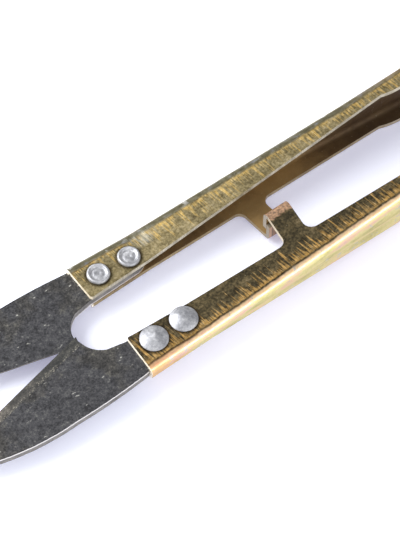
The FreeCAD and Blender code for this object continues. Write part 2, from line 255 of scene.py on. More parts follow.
def section(u):
    """Closed section of the sheet: (v, z, q, end, inside) all round.

    q is the distance from the nearest bend line, over a flange if positive and down the web
    if negative. end is 1 at the top flange and -1 at the bottom one.
    """
    fade = min(1.0, max(0.0, (u - FOLD_FADE_START) / (ARM_LENGTH - FOLD_FADE_START)))
    outer = BEND_RADIUS + (EDGE_RADIUS - BEND_RADIUS) * fade
    top, bottom = channel(u)
    middle = (top + bottom) / 2
    half = (top - bottom) / 2

    def flank(flange, inside):
        """From the flange's inner edge to the middle of the web, for an end at +z."""
        deep = flange_depth(flange, u)
        thick = SHEET if inside else 0.0
        radius = outer
        if inside:
            eased = min(1.0, max(0.0, (u - SOFT_FOLD_FROM) / SOFT_FOLD_FADE))
            radius = max(MIN_INNER_RADIUS, outer - SHEET)
            radius += (SOFT_FOLD_RADIUS - radius) * eased
            radius = min(radius, max(0.0, deep - SHEET) * 0.9)
        roof = half - thick
        points = []
        for share in FLANGE_SHARES:
            v = deep + (thick + radius - deep) * share
            points.append((v, roof, v - thick - radius))
        for i in range(FOLD_STEPS + 1):
            turn = math.pi / 2 * i / FOLD_STEPS
            v = thick + radius * (1 - math.sin(turn))
            z = roof - radius * (1 - math.cos(turn))
            points.append((v, z, -outer * turn))
        low = roof - radius
        for i in range(1, WEB_STEPS // 2 + 1):
            z = low * (1 - 2 * i / WEB_STEPS)
            points.append((thick, z, -outer * math.pi / 2 - (low - z)))
        return points

    def whole(inside):
        upper = [(v, middle + z, q, 1.0, inside) for v, z, q in flank(TAB_FLANGE, inside)]
        lower = [(v, middle - z, q, -1.0, inside) for v, z, q in flank(PLAIN_FLANGE, inside)]
        return upper + lower[-2::-1]

    return whole(0.0), whole(1.0)


def rounded(u, v, deep, radius):
    """Moves the points near a flange's front corner, so that the two edges meet in an arc."""
    from_front, from_edge = radius - u, radius - (deep - v)
    reach = max(from_front, from_edge)
    if min(from_front, from_edge) <= 0:
        return u, v
    if from_front > from_edge:
        turn = math.pi / 4 * from_edge / from_front
    else:
        turn = math.pi / 2 - math.pi / 4 * from_front / from_edge
    return radius - reach * math.cos(turn), deep - radius + reach * math.sin(turn)


def raked(u, v, deep):
    """The flanges' front ends slope back towards their inner edges."""
    fade = max(0.0, 1 - u / RAKE_FADE)
    return u + FRONT_RAKE * min(1.0, v / deep) * fade


def stations():
    """Along the arm, closer together round the tab and the run-out."""
    tab_from, tab_to = TAB_FRONT - TAB_ROOT_RADIUS, TAB_REAR + TAB_ROOT_RADIUS
    along = spread(0, PLAIN_CORNER_RADIUS, CORNER_STEPS)
    along += spread(PLAIN_CORNER_RADIUS, RAKE_FADE, 3)[1:]
    along += spread(RAKE_FADE, FLARE_START, 9)[1:]
    along += spread(FLARE_START, tab_from, 16)[1:]
    first = len(along) - 1
    along += spread(tab_from, tab_to, 16)[1:]
    last = len(along) - 1
    along += spread(tab_to, FOLD_FADE_START, 14)[1:]
    along += spread(FOLD_FADE_START, TAPER_END, 6)[1:]
    along += spread(TAPER_END, RUNOUT_START, 6)[1:]
    along += spread(RUNOUT_START, RUNOUT_END, 12)[1:]
    along += spread(RUNOUT_END, ARM_LENGTH, 1)[1:]
    bow = spread(ARM_LENGTH, APEX_U, 30)[1:]
    along += bow[:-1] + [APEX_U - APEX_STATION, APEX_U]
    return along, first, last


RIM_ROUNDING = 0.17          # on the sheared edges of the strip
APEX_STATION = 0.03          # the last row before the bow's apex lies this close to it
COPPER_REACH = 1.6           # the scraped patch on the tab starts this far before its fold


class Sheet:
    """Collects the strip's points with what the finish needs to know about each."""

    def __init__(self, side):
        self.side = side
        self.bm = bmesh.new()
        self.run = self.bm.verts.layers.float_vector.new("run")
        self.part = self.bm.verts.layers.float_vector.new("part")

    def point(self, u, v, z, q, end, inside, tab=0.0):
        x, y = on_plan(u, v)
        vert = self.bm.verts.new(place((x, y, z), self.side))
        vert[self.run] = (u, q, end)
        vert[self.part] = (inside, tab, 0.0)
        return vert

    def face(self, verts, material=PLATED):
        made = self.bm.faces.new(verts)
        made.smooth = True
        made.material_index = material
        return made


def strip_point(sheet, u, entry):
    """Mesh point for one entry of the section at u, moved for the rake and the rounded corner."""
    v, z, q, end, inside = entry
    flange, radius = (TAB_FLANGE, TAB_CORNER_RADIUS) if end > 0 else (PLAIN_FLANGE, PLAIN_CORNER_RADIUS)
    deep = flange_depth(flange, u)
    corner_u, corner_v = rounded(u, v, deep, radius)
    return sheet.point(raked(corner_u, corner_v, deep), corner_v, z, q, end, inside)


def build_half(side):
    """Half of the frame, from the arm's front end to the bow's apex. The two end rows stay open."""
    sheet = Sheet(side)
    along, first, last = stations()
    outside_rows, inside_rows = [], []
    for u in along:
        outside, inside = section(u)
        outside_rows.append([strip_point(sheet, u, entry) for entry in outside])
        inside_rows.append([strip_point(sheet, u, entry) for entry in inside])
    across = len(outside_rows[0])
    for k in range(len(along) - 1):
        out_near, out_far = outside_rows[k], outside_rows[k + 1]
        in_near, in_far = inside_rows[k], inside_rows[k + 1]
        for i in range(across - 1):
            sheet.face((out_near[i], out_near[i + 1], out_far[i + 1], out_far[i]))
            sheet.face((in_near[i], in_far[i], in_far[i + 1], in_near[i + 1]))
        if not first <= k < last:
            sheet.face((out_near[0], out_far[0], in_far[0], in_near[0]), SHEARED)
        sheet.face((out_near[-1], in_near[-1], in_far[-1], out_far[-1]), SHEARED)
    out_front, in_front = outside_rows[0], inside_rows[0]
    for i in range(across - 1):
        sheet.face((out_front[i], in_front[i], in_front[i + 1], out_front[i + 1]), SHEARED)
    root = slice(first, last + 1)
    root_out = [row[0] for row in outside_rows[root]]
    root_in = [row[0] for row in inside_rows[root]]
    add_tab(sheet, along[root], root_out, root_in)
    return sheet.bm, outside_rows[-1] + inside_rows[-1]


def tab_rows(flat_length):
    """(kind, place, inset) of each row across the tab: the root fillets and neck, the fold, the lip."""
    rows = []
    for turn in spread(0, math.pi / 2, 8)[1:]:
        rows.append(("flat", TAB_ROOT_RADIUS * (1 - math.cos(turn)), TAB_ROOT_RADIUS * math.sin(turn)))
    for out in spread(TAB_ROOT_RADIUS, flat_length, 8)[1:]:
        rows.append(("flat", out, TAB_ROOT_RADIUS))
    for turn in spread(0, math.pi / 2, 8)[1:]:
        rows.append(("fold", turn, TAB_ROOT_RADIUS))
    for share in spread(0, 1, 6)[1:]:
        rows.append(("lip", share, TAB_ROOT_RADIUS))
    return rows


def tab_ends(kind, value, u, flat_length):
    """(v, z) of the tab's outer and inner face in one row, at u."""
    start_v = lip_face(u) - BEND_RADIUS
    top = channel(u)[0]
    level = top - BEND_RADIUS
    if kind == "flat":
        root_v = flange_depth(TAB_FLANGE, u)
        v = root_v + (start_v - root_v) * value / flat_length
        return (v, top), (v, top - SHEET)
    if kind == "fold":
        small = BEND_RADIUS - SHEET
        outer = (start_v + BEND_RADIUS * math.sin(value), level + BEND_RADIUS * math.cos(value))
        return outer, (start_v + small * math.sin(value), level + small * math.cos(value))
    z = level + (-LIP_PAST_MIDDLE - level) * value
    return (start_v + BEND_RADIUS, z), (start_v + BEND_RADIUS - SHEET, z)


def add_tab(sheet, columns, before_out, before_in):
    """The tab grows out of the top flange's edge, and its end folds down into the lip."""
    root_from, root_to = columns[0], columns[-1]
    middle = (TAB_FRONT + TAB_REAR) / 2
    flat_length = lip_face(middle + TAB_LEAN) - BEND_RADIUS - flange_depth(TAB_FLANGE, middle)
    for kind, value, inset in tab_rows(flat_length):
        out = value if kind == "flat" else flat_length
        lean = TAB_LEAN * max(0.0, out - TAB_ROOT_RADIUS) / (flat_length - TAB_ROOT_RADIUS)
        row_from, row_to = root_from + inset + lean, root_to - inset + lean
        near_fold = 1 - (flat_length - out) / COPPER_REACH
        folded = 0.5 + 0.5 * min(1.0, max(0.0, near_fold))
        outer_row, inner_row = [], []
        for root_u in columns:
            u = row_from + (row_to - row_from) * (root_u - root_from) / (root_to - root_from)
            outer, inner = tab_ends(kind, value, u, flat_length)
            q = outer[0] - BEND_RADIUS
            outer_row.append(sheet.point(u, *outer, q, 1.0, 0.0, folded))
            inner_row.append(sheet.point(u, *inner, q, 1.0, 1.0, folded))
        for i in range(len(columns) - 1):
            sheet.face((before_out[i], before_out[i + 1], outer_row[i + 1], outer_row[i]))
            sheet.face((before_in[i], inner_row[i], inner_row[i + 1], before_in[i + 1]))
        sheet.face((before_out[0], outer_row[0], inner_row[0], before_in[0]), SHEARED)
        sheet.face((before_out[-1], before_in[-1], inner_row[-1], outer_row[-1]), SHEARED)
        before_out, before_in = outer_row, inner_row
    for i in range(len(columns) - 1):
        sheet.face((before_out[i], before_out[i + 1], before_in[i + 1], before_in[i]), SHEARED)


def make_frame_half(side, materials):
    bm, open_end = build_half(side)
    apex = set(open_end)
    bmesh.ops.remove_doubles(bm, verts=[v for v in bm.verts if v not in apex], dist=0.0005 * MM)
    bmesh.ops.dissolve_degenerate(bm, edges=bm.edges, dist=0.0002 * MM)
    bm.normal_update()
    bmesh.ops.recalc_face_normals(bm, faces=bm.faces)

    def is_rim(edge):
        kinds = {face.material_index for face in edge.link_faces}
        return edge.calc_face_angle() > RIM_ANGLE and SHEARED in kinds

    weigh_edges(bm, is_rim)
    obj = finish_mesh(f"{side}_frame_half", bm, materials)
    round_edges(obj, RIM_ROUNDING, SHEARED)
    close_end(obj)
    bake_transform(obj)
    nodes = [f"{side}_arm"] + (["spring_bow"] if side == "left" else [])
    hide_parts(*nodes)
    return obj


def close_end(obj):
    """Fills the open end where the two halves of the frame meet inside the bow."""
    bm = bmesh.new()
    bm.from_mesh(obj.data)
    for face in fill_holes(bm):
        face.smooth = False
    bm.to_mesh(obj.data)
    bm.free()


# ---------- blades ----------
def arc_through(a, b, c, count):
    """Points on the circle from a through b to c."""
    ax, ay = a
    bx, by = b
    cx, cy = c
    d = 2 * (ax * (by - cy) + bx * (cy - ay) + cx * (ay - by))
    sa, sb, sc = ax * ax + ay * ay, bx * bx + by * by, cx * cx + cy * cy
    ox = (sa * (by - cy) + sb * (cy - ay) + sc * (ay - by)) / d
    oy = (sa * (cx - bx) + sb * (ax - cx) + sc * (bx - ax)) / d
    radius = math.hypot(ax - ox, ay - oy)
    begin = math.atan2(ay - oy, ax - ox)
    through = (math.atan2(by - oy, bx - ox) - begin) % math.tau
    finish = (math.atan2(cy - oy, cx - ox) - begin) % math.tau
    if through > finish:
        finish -= math.tau
    angles = spread(begin, begin + finish, count)
    return [(ox + radius * math.cos(angle), oy + radius * math.sin(angle)) for angle in angles]


def straight(a, b, count):
    return list(zip(spread(a[0], b[0], count), spread(a[1], b[1], count)))


def edge_ends():
    """The cutting edge's ends, at the tip and at the heel."""
    tip_x = TIP_X - TIP_BACK
    return (tip_x, edge_y(tip_x)), (HEEL_X, edge_y(HEEL_X))


def blade_outline():
    """Plan outline of the left blade, with the kind of each stretch: shank, sheared or edge."""
    rear_u = RIVET_U[1]
    inner_rear = flange_depth(PLAIN_FLANGE, rear_u) - SHANK_INSET
    end_radius = (inner_rear - SHANK_OUTER_V) / 2
    outer_rear = on_plan(rear_u, SHANK_OUTER_V)
    shank_end = on_plan(rear_u + end_radius, SHANK_OUTER_V + end_radius)
    inner_rear_point = on_plan(rear_u, inner_rear)
    inner_front = on_plan(0, flange_depth(PLAIN_FLANGE, 0) - SHANK_INSET)
    shoulder = on_plan(-SHOULDER_GAP, SHANK_OUTER_V)
    outer_front = on_plan(-SHOULDER_GAP, OUTER_FRONT_V)
    nose = (TIP_X - NOSE_BACK, edge_y(TIP_X) + NOSE_RISE)
    nose_round = (TIP_X - NOSE_ROUND_BACK, edge_y(TIP_X) + NOSE_ROUND_RISE)
    tip, heel = edge_ends()
    stretches = [
        ("shank", straight(outer_rear, shoulder, 6)),
        ("sheared", straight(shoulder, outer_front, 1)),
        ("sheared", arc_through(outer_front, OUTER_SWELL, OUTER_WIDEST, 46)),
        ("sheared", arc_through(OUTER_WIDEST, OUTER_BELLY, nose, 84)),
        ("sheared", arc_through(nose, nose_round, tip, 5)),
        ("edge", straight(tip, heel, 96)),
        ("sheared", straight(heel, MOUTH_LOW, 4)),
        ("sheared", arc_through(MOUTH_LOW, MOUTH_MIDDLE, MOUTH_HIGH, 24)),
        ("sheared", straight(MOUTH_HIGH, inner_front, 16)),
        ("shank", straight(inner_front, inner_rear_point, 6)),
        ("shank", arc_through(inner_rear_point, shank_end, outer_rear, 12)),
    ]
    points, kinds = [], []
    for kind, run in stretches:
        for point in run[:-1]:
            points.append(point)
            kinds.append(kind)
    return points, kinds


FACE, SIDE, GROUND = 0, 1, 2
RAGGED = {"shank": 0.0, "sheared": 0.035, "edge": 0.022}
BLADE_SEED = {"left": 3.0, "right": 11.0}
EDGE_LINE_REACH = 0.08       # corners this close to the cutting edge stay sharp
PLATE_ROUNDING = 0.09


def layered(x, y, seed, coarse, fine, share):
    """Noise over the plan at a coarse and a fine scale."""
    broad = noise.noise(Vector((x * coarse, y * coarse, seed)))
    return broad + share * noise.noise(Vector((x * fine, y * fine, seed)))


def make_blade(side, materials):
    """Blanked plate with slightly ragged sheared sides and a ground bevel along the cutting edge."""
    points, kinds = blade_outline()
    count = len(points)
    ragged = []
    for i, (x, y) in enumerate(points):
        before, after = points[i - 1], points[(i + 1) % count]
        along = Vector((after[0] - before[0], after[1] - before[1])).normalized()
        rough = layered(x, y, BLADE_SEED[side], 2.3, 6.1, 0.6)
        size = RAGGED[kinds[i]] if kinds[i - 1] == kinds[i] else 0.0
        ragged.append((x - along.y * rough * size, y + along.x * rough * size))
    bm = bmesh.new()
    low = [bm.verts.new((x, y, BLADE_BOTTOM)) for x, y in ragged]
    high = [bm.verts.new((x, y, BLADE_TOP)) for x, y in ragged]
    bm.faces.new(low[::-1]).material_index = FACE
    bm.faces.new(high).material_index = FACE
    for i in range(count):
        j = (i + 1) % count
        bm.faces.new((low[i], low[j], high[j], high[i])).material_index = SIDE
    tip, heel = edge_ends()
    along = Vector((tip[0] - heel[0], tip[1] - heel[1], 0)).normalized()
    inwards = Vector((-along.y, along.x, 0))
    rise = BLADE - EDGE_LAND
    normal = (Vector((0, 0, 1)) * BEVEL_WIDTH - inwards * rise).normalized()
    base = Vector((heel[0], heel[1], BLADE_BOTTOM + EDGE_LAND))
    everything = bm.verts[:] + bm.edges[:] + bm.faces[:]
    bmesh.ops.bisect_plane(
        bm, geom=everything, dist=1e-5, plane_co=base, plane_no=normal, clear_outer=True)
    for face in fill_holes(bm):
        face.material_index = GROUND
    bm.normal_update()
    bmesh.ops.recalc_face_normals(bm, faces=bm.faces)

    def is_outer_corner(edge):
        kinds_here = {face.material_index for face in edge.link_faces}
        on_edge_line = all(abs((v.co - base).dot(inwards)) < EDGE_LINE_REACH for v in edge.verts)
        return kinds_here == {FACE, SIDE} and not on_edge_line

    weigh_edges(bm, is_outer_corner)
    for vert in bm.verts:
        vert.co = place(vert.co, side)
    for face in bm.faces:
        face.smooth = True
    obj = finish_mesh(f"{side}_blade_plate", bm, materials)
    round_edges(obj, PLATE_ROUNDING, SIDE)
    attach(obj, f"{side}_arm")
    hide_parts(f"{side}_blade")
    return obj


# ---------- rivets ----------
DOME_STEPS = 14
DOME_CAP = 0.985             # share of the dome's radius that is spherical
RIM_SHARES = (0.85, 0.45)    # of the dome's rim height, between which the rim is upright
RIM_TUCK_IN = 0.05
RIM_TUCK_UP = 0.02
NECK_WIDER = 0.02            # the shank widens by this much where it meets the dome and the tail
NECK_LENGTH = 0.1
TAIL_TUCK_IN = 0.10
DIMPLE_DEPTH = 0.28
# (share of the tail's radius, depth below the flange), from the outside in
TAIL_CREST = [
    (1.0, 0.10), (1.0, 0.24), (0.975, 0.38), (0.93, 0.48), (0.87, 0.54), (0.81, TAIL_HEIGHT), (0.75, 0.51),
]
TAIL_GROOVE = [
    (0.70, 0.41), (0.65, 0.32), (0.58, 0.28), (0.50, 0.29), (0.42, 0.32), (0.34, 0.34), (0.26, 0.34),
    (0.18, 0.32), (0.10, 0.29),
]


def rivet_profile():
    """(radius, height) from the dome's crown down to the middle of the tail."""
    seat = CLAMP_MIDDLE + CLAMP_HEIGHT / 2
    foot = CLAMP_MIDDLE - CLAMP_HEIGHT / 2
    crown = DOME_HEIGHT - DOME_RIM
    sphere = (DOME_RADIUS ** 2 + crown ** 2) / (2 * crown)
    profile = [(0.0, seat + DOME_HEIGHT)]
    for turn in spread(0, math.pi / 2, DOME_STEPS)[1:]:
        r = DOME_RADIUS * DOME_CAP * math.sin(turn)
        profile.append((r, seat + DOME_HEIGHT - sphere + math.sqrt(sphere ** 2 - r ** 2)))
    profile += [(DOME_RADIUS, seat + DOME_RIM * share) for share in RIM_SHARES]
    profile.append((DOME_RADIUS - RIM_TUCK_IN, seat + RIM_TUCK_UP))
    profile += [(RIVET_SHANK + NECK_WIDER, seat), (RIVET_SHANK, seat - NECK_LENGTH)]
    profile += [(RIVET_SHANK, foot + NECK_LENGTH), (RIVET_SHANK + NECK_WIDER, foot)]
    profile.append((TAIL_RADIUS - TAIL_TUCK_IN, foot))
    profile += [(TAIL_RADIUS * r, foot - h) for r, h in TAIL_CREST + TAIL_GROOVE]
    profile.append((0.0, foot - DIMPLE_DEPTH))
    return profile


SPOKES = 56
SEAT_KEPT = 0.05             # the faces on the flanges stay flat this far out
DOME_DENT = 0.055
TAIL_DENT = 0.05
TAIL_SWELL = 0.03
RIVET_SEED = {"left": 0.0, "right": 20.0}


def rivet_ring(radius, height):
    """Points of one ring, or the single point on the axis."""
    if radius == 0.0:
        return [(0, 0, height)]
    angles = [math.tau * k / SPOKES for k in range(SPOKES)]
    return [(radius * math.cos(angle), radius * math.sin(angle), height) for angle in angles]


def beaten(point, seed):
    """The dome is dented a little, and the tail is a little out of round."""
    x, y, z = point
    above = abs(z - CLAMP_MIDDLE) - CLAMP_HEIGHT / 2
    if above <= SEAT_KEPT:
        return x, y, z
    dent = layered(x, y, seed, 0.9, 2.1, 0.5)
    if z > CLAMP_MIDDLE:
        towards_rim = min(1.0, (DOME_RADIUS - math.hypot(x, y)) / 0.4 + 0.1)
        return x, y, z - DOME_DENT * (dent + 0.5) * towards_rim
    swell = noise.noise(Vector((x * 0.7, y * 0.7, seed + 3)))
    wider = 1 + TAIL_SWELL * (swell - 0.4)
    return x * wider, y * wider, z + TAIL_DENT * max(0.0, dent + 0.3)


def make_rivet(side, position, u, material):
    """Dome, shank and upset tail in one turned piece, a little beaten by the riveting."""
    seed = RIVET_SEED[side] + 7.0 * RIVET_U.index(u)
    centre = on_plan(u, RIVET_V[side])
    bm = bmesh.new()
    rings = [[bm.verts.new(point) for point in rivet_ring(*row)] for row in rivet_profile()]
    for upper, lower in zip(rings, rings[1:]):
        for k in range(SPOKES):
            n = (k + 1) % SPOKES
            if len(upper) == 1:
                bm.faces.new((upper[0], lower[k], lower[n]))
            elif len(lower) == 1:
                bm.faces.new((upper[k], lower[0], upper[n]))
            else:
                bm.faces.new((upper[k], lower[k], lower[n], upper[n]))
    for vert in bm.verts:
        x, y, z = beaten(vert.co, seed)
        vert.co = place((x + centre[0], y + centre[1], z), side)
    for face in bm.faces:
        face.smooth = True
    obj = finish_mesh(f"{side}_{position}_rivet_head", bm, [material])
    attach(obj, f"{side}_arm")
    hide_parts(f"{side}_{position}_rivet")
    return obj


# ---------- materials ----------
def srgb(code):
    """Linear colour from a six digit hex code."""
    values = [int(code[i:i + 2], 16) / 255 for i in (0, 2, 4)]
    return tuple(v / 12.92 if v <= 0.04045 else ((v + 0.055) / 1.055) ** 2.4 for v in values) + (1.0,)


def set_inputs(node, values):
    for name, value in values.items():
        node.inputs[name].default_value = value


class Finish:
    """A material and short names for the nodes that it is made of."""

    def __init__(self, name, metallic):
        self.material = bpy.data.materials.new(name)
        self.material.use_nodes = True
        self.tree = self.material.node_tree
        self.shader = self.tree.nodes["Principled BSDF"]
        self.shader.inputs["Metallic"].default_value = metallic

    def put(self, socket, value):
        if hasattr(value, "is_output"):
            self.tree.links.new(value, socket)
        else:
            socket.default_value = value

    def node(self, kind, **settings):
        made = self.tree.nodes.new(kind)
        for key, value in settings.items():
            setattr(made, key, value)
        return made

    def attribute(self, name):
        made = self.node("ShaderNodeAttribute", attribute_name=name, attribute_type="GEOMETRY")
        return self.split(made.outputs["Vector"])

    def split(self, vector):
        made = self.node("ShaderNodeSeparateXYZ")
        self.put(made.inputs[0], vector)
        return made.outputs

    def place_mm(self):
        """Place on the object, in mm."""
        made = self.node("ShaderNodeTexCoord")
        return self.scaled(made.outputs["Object"], 1 / MM)

    def vector(self, x, y, z):
        made = self.node("ShaderNodeCombineXYZ")
        for socket, value in zip(made.inputs, (x, y, z)):
            self.put(socket, value)
        return made.outputs[0]

    def math(self, operation, a, b=0.0, c=0.0):
        made = self.node("ShaderNodeMath", operation=operation)
        for socket, value in zip(made.inputs, (a, b, c)):
            self.put(socket, value)
        return made.outputs[0]

    def plus(self, a, b):
        return self.math("ADD", a, b)

    def minus(self, a, b):
        return self.math("SUBTRACT", a, b)

    def times(self, a, b):
        return self.math("MULTIPLY", a, b)

    def times_plus(self, a, b, c):
        return self.math("MULTIPLY_ADD", a, b, c)

    def absolute(self, a):
        return self.math("ABSOLUTE", a)

    def larger(self, a, b):
        return self.math("MAXIMUM", a, b)

    def ramp(self, value, low, high, to_low=0.0, to_high=1.0):
        """Smooth step of value from low to high."""
        made = self.node("ShaderNodeMapRange", interpolation_type="SMOOTHSTEP")
        for socket, item in zip(made.inputs, (value, low, high, to_low, to_high)):
            self.put(socket, item)
        return made.outputs[0]

    def noise(self, vector, scale, detail=2.0, rough=0.5, distortion=0.0):
        made = self.node("ShaderNodeTexNoise")
        self.put(made.inputs["Vector"], vector)
        set_inputs(made, {"Scale": scale, "Detail": detail, "Roughness": rough, "Distortion": distortion})
        return made.outputs[0]

    def wobble(self, vector, scale, size):
        """Offset that bends a pattern."""
        made = self.node("ShaderNodeTexNoise")
        self.put(made.inputs["Vector"], vector)
        made.inputs["Scale"].default_value = scale
        return self.scaled(made.outputs[1], size)

    def scaled(self, vector, factor):
        made = self.node("ShaderNodeVectorMath", operation="SCALE")
        self.put(made.inputs[0], vector)
        made.inputs["Scale"].default_value = factor
        return made.outputs[0]

    def shifted(self, vector, offset):
        made = self.node("ShaderNodeVectorMath", operation="ADD")
        self.put(made.inputs[0], vector)
        self.put(made.inputs[1], offset)
        return made.outputs[0]

    def length(self, vector):
        made = self.node("ShaderNodeVectorMath", operation="LENGTH")
        self.put(made.inputs[0], vector)
        return made.outputs["Value"]

    def stretched(self, vector, turn, along, across):
        """Vector turned by some degrees about Z, and then scaled along and across."""
        made = self.node("ShaderNodeMapping")
        set_inputs(made, {"Rotation": (0, 0, math.radians(turn)), "Scale": (along, across, 1.0)})
        self.put(made.inputs[0], vector)
        return made.outputs[0]

    def spots(self, vector, scale):
        """Distance from the nearest of a set of scattered points."""
        made = self.node("ShaderNodeTexVoronoi")
        self.put(made.inputs["Vector"], vector)
        made.inputs["Scale"].default_value = scale
        return made.outputs["Distance"]

    def below_face(self, z):
        """How far a blade's point at height z lies below that blade's outer face, in mm."""
        return self.minus(BLADE_TOP, self.absolute(self.minus(z, SHIFT.z)))

    def mix(self, share, a, b):
        made = self.node("ShaderNodeMix", data_type="RGBA")
        self.put(made.inputs[0], share)
        self.put(made.inputs[6], a)
        self.put(made.inputs[7], b)
        return made.outputs[2]

    def bands(self, value, stops):
        """Colour ramp through (place, hex colour) stops."""
        made = self.node("ShaderNodeValToRGB")
        ramp = made.color_ramp
        while len(ramp.elements) < len(stops):
            ramp.elements.new(0.5)
        for element, (place_at, code) in zip(ramp.elements, stops):
            element.position = place_at
            element.color = srgb(code)
        self.put(made.inputs[0], value)
        return made.outputs[0]

    def done(self, colour, rough, height, strength, distance):
        """Puts the colour, roughness and bump on the shader. distance is in mm."""
        self.put(self.shader.inputs["Base Color"], colour)
        self.put(self.shader.inputs["Roughness"], rough)
        bump = self.node("ShaderNodeBump")
        set_inputs(bump, {"Strength": strength, "Distance": distance * MM})
        self.put(bump.inputs["Height"], height)
        self.put(self.shader.inputs["Normal"], bump.outputs[0])
        return self.material


# Each side's palettes are partly painted light: the right flange palette is lighter than the left's, partly
# a painted reflection of brighter surroundings; the left fold palette is a painted highlight, the right
# fold palette painted shade.
LOOKS = {
    "left": dict(
        flange=[(0.34, "2b271d"), (0.47, "4a4230"), (0.56, "665a40"), (0.70, "8d7c60")],
        gold=[(0.30, "94703a"), (0.5, "c49a56"), (0.70, "eccb92")],
        # painted highlight on the fold
        fold=[(0.30, "e0b684"), (0.5, "efd0a8"), (0.7, "e4b298")],
        web=[(0.30, "a0945c"), (0.42, "c0b577"), (0.52, "d2c689"), (0.62, "dab096"), (0.74, "a6afba")],
        reach=3.6,
        comb_start=-0.22,
        front_gold=0.01,
        front_reach=2.5,
        comb_gap=0.16,
        flush=0.6,
    ),
    "right": dict(
        flange=[(0.34, "5c523a"), (0.47, "827654"), (0.56, "9c8e6a"), (0.70, "c0b291")],
        gold=[(0.30, "aa8c4c"), (0.5, "ccac66"), (0.70, "e6d09a")],
        # painted shade on the fold
        fold=[(0.35, "5c5641"), (0.52, "6f6a54"), (0.62, "79766e"), (0.74, "9298a5")],
        web=[(0.30, "8c8150"), (0.42, "a89a5c"), (0.52, "bdab68"), (0.62, "c59a78"), (0.74, "949ca0")],
        reach=4.2,
        comb_start=0.10,
        front_gold=-0.03,
        front_reach=0.0,
        comb_gap=0.0,
        flush=0.0,
    ),
}
BOW_BLEND_FROM = 46.0        # from here on the two sides' colours drift together
SCUFF_U = 13.7
SCUFF_Q = 1.9
PALE_INSIDE_U = 33.0         # painted light: the inside of the channel is painted palest here, next to the tab
INSIDE = [(0.25, "644c2e"), (0.5, "775d3a"), (0.75, "8b7149")]


class Plating(Finish):
    """The frame's plated finish, with the places and patterns that its layers share."""

    def __init__(self, side):
        super().__init__(f"plated_steel_{side}", 0.85)
        self.look = LOOKS[side]
        self.other_look = LOOKS["right" if side == "left" else "left"]
        turn = TURN[side]
        self.u, self.q, self.end = self.attribute("run")
        self.inside, self.tab = self.attribute("part")[:2]
        # the pattern runs on round the bow: s is the length along the whole strip
        self.s = self.times_plus(self.u, turn, APEX_U - turn * APEX_U)
        self.layer = self.times(self.end, 17.0 * turn)
        self.grain_at = self.vector(self.s, self.q, self.layer)
        self.slanted = self.times_plus(self.q, 0.16, self.s)
        self.fine = self.noise(self.over_strip(7.0, 0.45, self.slanted), 1.0, 2.0, 0.6)
        self.mottle = self.noise(self.grain_at, 2.6, 4.0, 0.65)
        # the bend line as the folding tool left it, slightly wavy
        wave = self.noise(self.vector(self.s, 3.0, self.layer), 0.5, 2.0)
        self.past_bend = self.minus(self.q, self.times_plus(wave, 0.5, self.look["comb_start"]))

    def over_strip(self, along, across, s=None):
        """The strip's own place, scaled along it and across it."""
        at = self.s if s is None else s
        return self.vector(self.times(at, along), self.times(self.q, across), self.layer)

    def palette(self, value, name):
        """One of this side's colour ramps, drifting towards the other side's round the bow."""
        share = self.ramp(self.u, BOW_BLEND_FROM, APEX_U, 0.0, 0.5)
        return self.mix(share, self.bands(value, self.look[name]), self.bands(value, self.other_look[name]))


def flange_colour(f):
    """Mottled flange with scrape marks: a comb of streaks from the bend line, each of its own length."""
    patches = f.noise(f.over_strip(0.35, 0.6), 1.0, 3.0)
    # the right side's flange colours are lighter than the left's, partly a painted reflection
    flange = f.palette(f.times_plus(patches, 0.42, f.times(f.mottle, 0.58)), "flange")
    streak = f.noise(f.over_strip(2.7, 0.10, f.slanted), 1.0, 2.0, 0.55)
    marks = f.times_plus(f.fine, 0.30, f.times(streak, 0.70))
    near_front = f.ramp(f.u, 12.0, 3.0)
    limit = f.minus(f.ramp(f.q, 0.0, 1.6, 0.40, 0.52), f.times(near_front, f.look["front_gold"]))
    scraped = f.ramp(f.minus(marks, limit), -0.02, 0.05)

    gap_noise = f.noise(f.vector(f.times(f.slanted, 1.7), 5.0, f.layer), 1.0, 2.0)
    begun = f.ramp(f.minus(f.past_bend, f.times(gap_noise, 2 * f.look["comb_gap"])), 0.0, 0.22)
    length_noise = f.noise(f.vector(f.times(f.slanted, 1.3), 9.0, f.layer), 1.0, 3.0, 0.7)
    length = f.ramp(length_noise, 0.36, 0.66, 0.15, f.look["reach"])
    beyond = f.minus(f.q, f.times_plus(near_front, f.look["front_reach"], length))
    comb = f.times(f.times(scraped, begun), f.ramp(beyond, 0.5, -0.5))
    comb = f.times(comb, f.ramp(f.tab, 0.5, 0.1))

    gold = f.palette(f.times_plus(f.fine, 0.5, f.times(f.mottle, 0.5)), "gold")
    strength = f.ramp(f.noise(f.grain_at, 1.1, 2.0), 0.35, 0.62, 0.45, 0.95)
    return f.mix(f.times(comb, strength), flange, gold)


def with_rivet_shade_and_grime(f, colour, side):
    """Painted contact shade and grime in a dark ring round the rivets, wider on the flange that carries the
    domes.
    """
    rim = f.ramp(f.end, -0.5, 0.5, TAIL_RADIUS, DOME_RADIUS)
    on_flange = f.ramp(f.absolute(f.end), 0.2, 0.6, 0.0, 0.75)
    for rivet_u in RIVET_U:
        offset = f.vector(f.minus(f.u, rivet_u), f.minus(f.q, RIVET_V[side] - BEND_RADIUS), 0.0)
        past = f.minus(f.times_plus(f.fine, -0.8, f.length(offset)), rim)
        # dark ring: painted contact shade where the rivets meet the flange, with grime
        colour = f.mix(f.times(f.ramp(past, 0.10, -0.30), on_flange), colour, srgb("2a2012"))
    return colour


